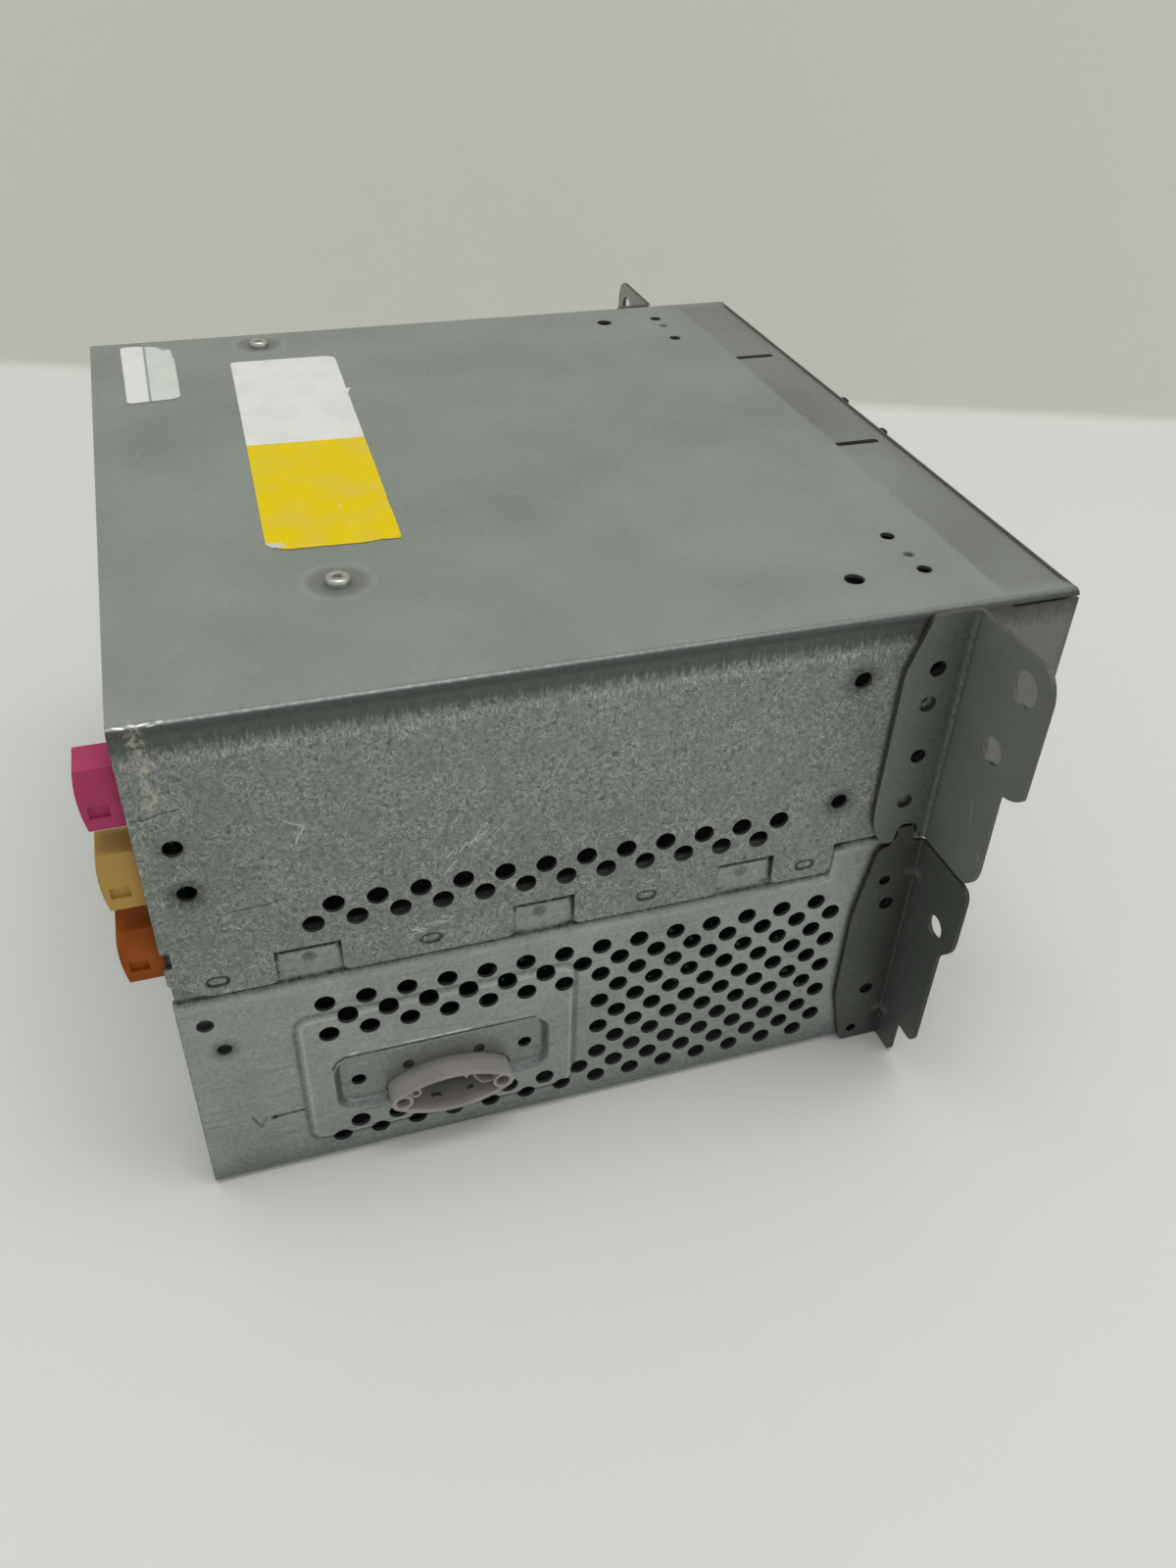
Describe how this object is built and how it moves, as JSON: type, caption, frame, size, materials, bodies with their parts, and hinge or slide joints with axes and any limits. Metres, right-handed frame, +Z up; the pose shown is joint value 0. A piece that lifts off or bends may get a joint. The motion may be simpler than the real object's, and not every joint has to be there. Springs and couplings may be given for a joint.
{
  "type": "car navigation computer",
  "caption": "Box-shaped car navigation computer in folded zinc-coated sheet steel, with a disc slot, side brackets, cooling holes and coloured aerial sockets.",
  "frame": {"origin": "the middle of the underside of the lower housing", "axes": "+X to the right seen from the front, +Y to the rear (the disc slot faces -Y), +Z up"},
  "size_m": [0.2296, 0.1847, 0.1169],
  "materials": {
    "zinc_sheet": "zinc-coated sheet steel with a fine crystal grain, satin",
    "bracket_sheet": "dull grey zinc-coated sheet steel",
    "bright_steel": "bright machined or nickel-plated steel",
    "machined_aluminium": "cast and machined aluminium",
    "grey_plastic": "warm light grey moulded plastic",
    "black_plastic": "black moulded plastic",
    "white_plastic": "off-white moulded plastic",
    "pink_plastic": "pink moulded plastic",
    "beige_plastic": "beige moulded plastic",
    "orange_plastic": "orange-brown moulded plastic",
    "circuit_board": "green solder-masked laminate",
    "black_rubber": "soft black rubber",
    "copper_winding": "enamelled copper winding",
    "brass": "turned brass",
    "label_stock": "matt label paper, blank",
    "flex_film": "laminated flat flexible cable"
  },
  "bodies": {
    "case": {"upper_cover": "zinc_sheet", "lower_housing": "zinc_sheet", "front_plate": "zinc_sheet", "rear_panel": "zinc_sheet", "mid_shield": "zinc_sheet", "tuner_can": "zinc_sheet", "disk_cradle": "zinc_sheet", "upper_bracket_right": "bracket_sheet", "upper_bracket_left": "bracket_sheet", "lower_bracket_right": "bracket_sheet", "lower_bracket_left": "bracket_sheet", "top_screw_right": "bright_steel", "top_screw_left": "bright_steel", "drive_chassis": "bright_steel", "traverse_frame": "bright_steel", "guide_rod_left": "bright_steel", "guide_rod_right": "bright_steel", "spindle_motor": "bright_steel", "sled_motor": "bright_steel", "heat_sink": "machined_aluminium", "hard_disk": "machined_aluminium", "side_collar": "grey_plastic", "slot_bezel": "black_plastic", "main_header": "black_plastic", "fascia_connector": "black_plastic", "fan_frame": "black_plastic", "disc_guide": "black_plastic", "processor": "black_plastic", "capacitor": "black_plastic", "ribbon_socket": "white_plastic", "coax_connector_pink": "pink_plastic", "coax_connector_beige": "beige_plastic", "coax_connector_orange": "orange_plastic", "coax_board": "circuit_board", "drive_board": "circuit_board", "main_board": "circuit_board", "traverse_damper_front_left": "black_rubber", "traverse_damper_front_right": "black_rubber", "traverse_damper_rear_left": "black_rubber", "traverse_damper_rear_right": "black_rubber", "disk_pad_left": "black_rubber", "disk_pad_right": "black_rubber", "choke_coil": "copper_winding", "label_large": "label_stock", "label_small": "label_stock", "ribbon_cable": "flex_film"},
    "clamp_arm": {"clamp_arm": "bright_steel"},
    "clamp_puck": {"clamp_puck": "black_plastic"},
    "turntable": {"turntable": "black_plastic"},
    "pickup": {"pickup_sled": "machined_aluminium"},
    "lead_screw": {"lead_screw": "brass"},
    "carriage": {"loading_carriage": "white_plastic", "loading_motor": "bright_steel"},
    "roller": {"roller_shaft": "bright_steel", "loading_roller": "black_rubber", "roller_gear": "white_plastic"},
    "idler": {"idler_gear": "white_plastic"},
    "pinion": {"motor_pinion": "brass"},
    "cam_slide": {"cam_slide": "white_plastic"},
    "fan_rotor": {"fan_rotor": "black_plastic"}
  },
  "joints": [
    {"name": "cam_slide", "type": "slide", "parent": "case", "child": "cam_slide", "axis": [0, 1, 0], "range_m": [-0.004, 0.008]},
    {"name": "clamp_lift", "type": "hinge", "parent": "case", "child": "clamp_arm", "pos_m": [0.0147, 0.058, 0.0957], "axis": [1, 0, 0], "range_deg": [-4, 8]},
    {"name": "carriage_lift", "type": "hinge", "parent": "case", "child": "carriage", "pos_m": [0.0147, -0.04, 0.08], "axis": [1, 0, 0], "range_deg": [-8.4, 16.8]},
    {"name": "roller_spin", "type": "hinge", "parent": "carriage", "child": "roller", "pos_m": [0.0147, -0.066, 0.086], "axis": [1, 0, 0], "continuous": true},
    {"name": "idler_spin", "type": "hinge", "parent": "carriage", "child": "idler", "pos_m": [0.078, -0.05757, 0.07893], "axis": [1, 0, 0], "continuous": true},
    {"name": "pinion_spin", "type": "hinge", "parent": "carriage", "child": "pinion", "pos_m": [0.078, -0.04907, 0.07893], "axis": [1, 0, 0], "continuous": true},
    {"name": "turntable_spin", "type": "hinge", "parent": "case", "child": "turntable", "pos_m": [0.0147, -0.008, 0.085], "axis": [0, 0, 1], "continuous": true},
    {"name": "puck_spin", "type": "hinge", "parent": "clamp_arm", "child": "clamp_puck", "pos_m": [0.0147, -0.00736, 0.10489], "axis": [0, 0.1392, 0.9903], "continuous": true},
    {"name": "pickup_slide", "type": "slide", "parent": "case", "child": "pickup", "axis": [0, 1, 0], "range_m": [0, 0.034]},
    {"name": "lead_screw_spin", "type": "hinge", "parent": "case", "child": "lead_screw", "pos_m": [0.0447, 0.03, 0.08], "axis": [0, 1, 0], "range_deg": [0, 4081]},
    {"name": "fan_spin", "type": "hinge", "parent": "case", "child": "fan_rotor", "pos_m": [0.066, 0.08, 0.034], "axis": [0, 1, 0], "continuous": true}
  ],
  "couplings": [
    {"joint": "clamp_lift", "follows": "cam_slide", "rad_per_m": 17.453},
    {"joint": "carriage_lift", "follows": "cam_slide", "rad_per_m": 36.651},
    {"joint": "idler_spin", "follows": "roller_spin", "ratio": -0.83333},
    {"joint": "pinion_spin", "follows": "roller_spin", "ratio": 2},
    {"joint": "puck_spin", "follows": "turntable_spin", "ratio": 1},
    {"joint": "lead_screw_spin", "follows": "pickup_slide", "rad_per_m": 2094.4}
  ]
}
